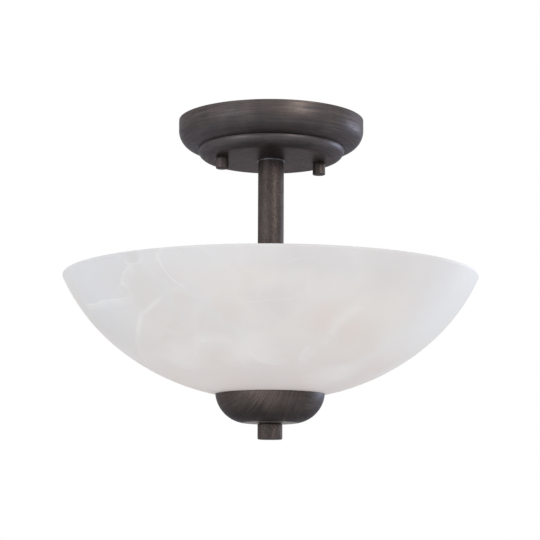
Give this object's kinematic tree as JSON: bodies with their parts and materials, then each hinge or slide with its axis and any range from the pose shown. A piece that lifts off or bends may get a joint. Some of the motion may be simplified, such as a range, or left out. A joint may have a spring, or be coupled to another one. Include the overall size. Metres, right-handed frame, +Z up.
{
  "type": "ceiling light",
  "caption": "Semi-flush ceiling light: stepped round canopy, short stem and an upturned glass bowl held by a cap and finial, with lamps on a cluster inside.",
  "frame": {"origin": "centre of the box screw slots in the mounting plate's top face, in the ceiling plane", "axes": "+Z up into the ceiling, X through the two canopy studs and the two lamps, Y through the box screw slots"},
  "size_m": [0.3288, 0.3288, 0.2553],
  "materials": {
    "bronze": "oil-rubbed dark bronze over steel, brushed, satin",
    "zinc_steel": "bright zinc plate",
    "green_screw": "green coated grounding screw",
    "phenolic": "black moulded phenolic",
    "brass": "drawn brass",
    "copper": "bare copper",
    "alabaster_glass": "white alabaster-style slumped glass, satin outside",
    "frosted_glass": "soft white coated glass",
    "black_glass": "black vitrite insulator",
    "solder": "soldered contact",
    "rubber": "soft black rubber",
    "nylon": "natural nylon",
    "black_insulation": "black wire insulation",
    "white_insulation": "white wire insulation",
    "connector_plastic": "orange twist-on connector"
  },
  "bodies": {
    "ceiling_strap": {"mounting_plate": "zinc_steel", "mounting_stud_left": "zinc_steel", "mounting_stud_right": "zinc_steel", "stud_lock_nut_left": "zinc_steel", "stud_lock_nut_right": "zinc_steel", "ground_screw": "green_screw"},
    "fixture": {"canopy": "bronze", "canopy_lock_washer": "zinc_steel", "canopy_hex_nut": "zinc_steel", "threaded_pipe": "zinc_steel", "upper_check_ring": "zinc_steel", "stem_tube": "bronze", "lower_check_ring": "zinc_steel", "housing_pipe_nut": "zinc_steel", "cluster_housing": "bronze", "cluster_cover": "bronze", "cluster_cover_screw_left": "bronze", "cluster_cover_screw_right": "bronze", "socket_nipple_left": "zinc_steel", "socket_nipple_right": "zinc_steel", "socket_lock_nut_left": "zinc_steel", "socket_lock_nut_right": "zinc_steel", "socket_body_left": "phenolic", "socket_body_right": "phenolic", "socket_shell_left": "brass", "socket_shell_right": "brass", "socket_contact_left": "brass", "socket_contact_right": "brass", "lower_rod": "zinc_steel", "rod_lock_nut_upper": "zinc_steel", "rod_lock_nut_lower": "zinc_steel", "bowl_stop_nut": "zinc_steel", "bowl_stop_washer": "zinc_steel", "bowl_stop_gasket": "rubber", "hot_lead_left": "black_insulation", "hot_lead_right": "black_insulation", "neutral_lead_left": "white_insulation", "neutral_lead_right": "white_insulation", "ground_lug": "copper", "ground_lead": "copper", "wire_connectors": "connector_plastic", "connector_springs": "zinc_steel"},
    "bowl": {"glass_bowl": "alabaster_glass", "bowl_bushing": "nylon", "cap_gasket": "rubber", "bottom_cap": "bronze"},
    "finial_washer": {"finial_washer": "bronze"},
    "finial": {"finial": "bronze"},
    "knob_washer_left": {"knob_washer_left": "bronze"},
    "knob_left": {"knob_nut_left": "bronze"},
    "knob_washer_right": {"knob_washer_right": "bronze"},
    "knob_right": {"knob_nut_right": "bronze"},
    "bulb_left": {"bulb_globe_left": "frosted_glass", "bulb_base_left": "brass", "bulb_insulator_left": "black_glass", "bulb_contact_left": "solder"},
    "bulb_right": {"bulb_globe_right": "frosted_glass", "bulb_base_right": "brass", "bulb_insulator_right": "black_glass", "bulb_contact_right": "solder"}
  },
  "joints": [
    {"name": "canopy_drop", "type": "slide", "parent": "ceiling_strap", "child": "fixture", "axis": [0, 0, -1], "range_m": [0, 0.045]},
    {"name": "bowl_lower", "type": "slide", "parent": "fixture", "child": "bowl", "axis": [0, 0, -1], "range_m": [0, 0.13]},
    {"name": "finial_travel", "type": "slide", "parent": "bowl", "child": "finial_washer", "axis": [0, 0, -1], "range_m": [0, 0.0081]},
    {"name": "finial_turn", "type": "hinge", "parent": "finial_washer", "child": "finial", "pos_m": [0, 0, -0.249], "axis": [0, 0, -1], "range_deg": [0, 3096]},
    {"name": "knob_left_travel", "type": "slide", "parent": "fixture", "child": "knob_washer_left", "axis": [0, 0, -1], "range_m": [0, 0.0059]},
    {"name": "knob_left_turn", "type": "hinge", "parent": "knob_washer_left", "child": "knob_left", "pos_m": [-0.0404, 0, -0.037], "axis": [0, 0, -1], "range_deg": [0, 2664]},
    {"name": "bulb_left_turn", "type": "hinge", "parent": "fixture", "child": "bulb_left", "pos_m": [-0.04, 0, -0.146], "axis": [-1, 0, 0], "range_deg": [0, 1620]},
    {"name": "knob_right_travel", "type": "slide", "parent": "fixture", "child": "knob_washer_right", "axis": [0, 0, -1], "range_m": [0, 0.0059]},
    {"name": "knob_right_turn", "type": "hinge", "parent": "knob_washer_right", "child": "knob_right", "pos_m": [0.0404, 0, -0.037], "axis": [0, 0, -1], "range_deg": [0, 2664]},
    {"name": "bulb_right_turn", "type": "hinge", "parent": "fixture", "child": "bulb_right", "pos_m": [0.04, 0, -0.146], "axis": [1, 0, 0], "range_deg": [0, 1620]}
  ],
  "couplings": [
    {"joint": "finial_travel", "follows": "finial_turn", "m_per_rad": 0.00014972},
    {"joint": "knob_left_travel", "follows": "knob_left_turn", "m_per_rad": 0.00012633},
    {"joint": "knob_right_travel", "follows": "knob_right_turn", "m_per_rad": 0.00012633}
  ]
}
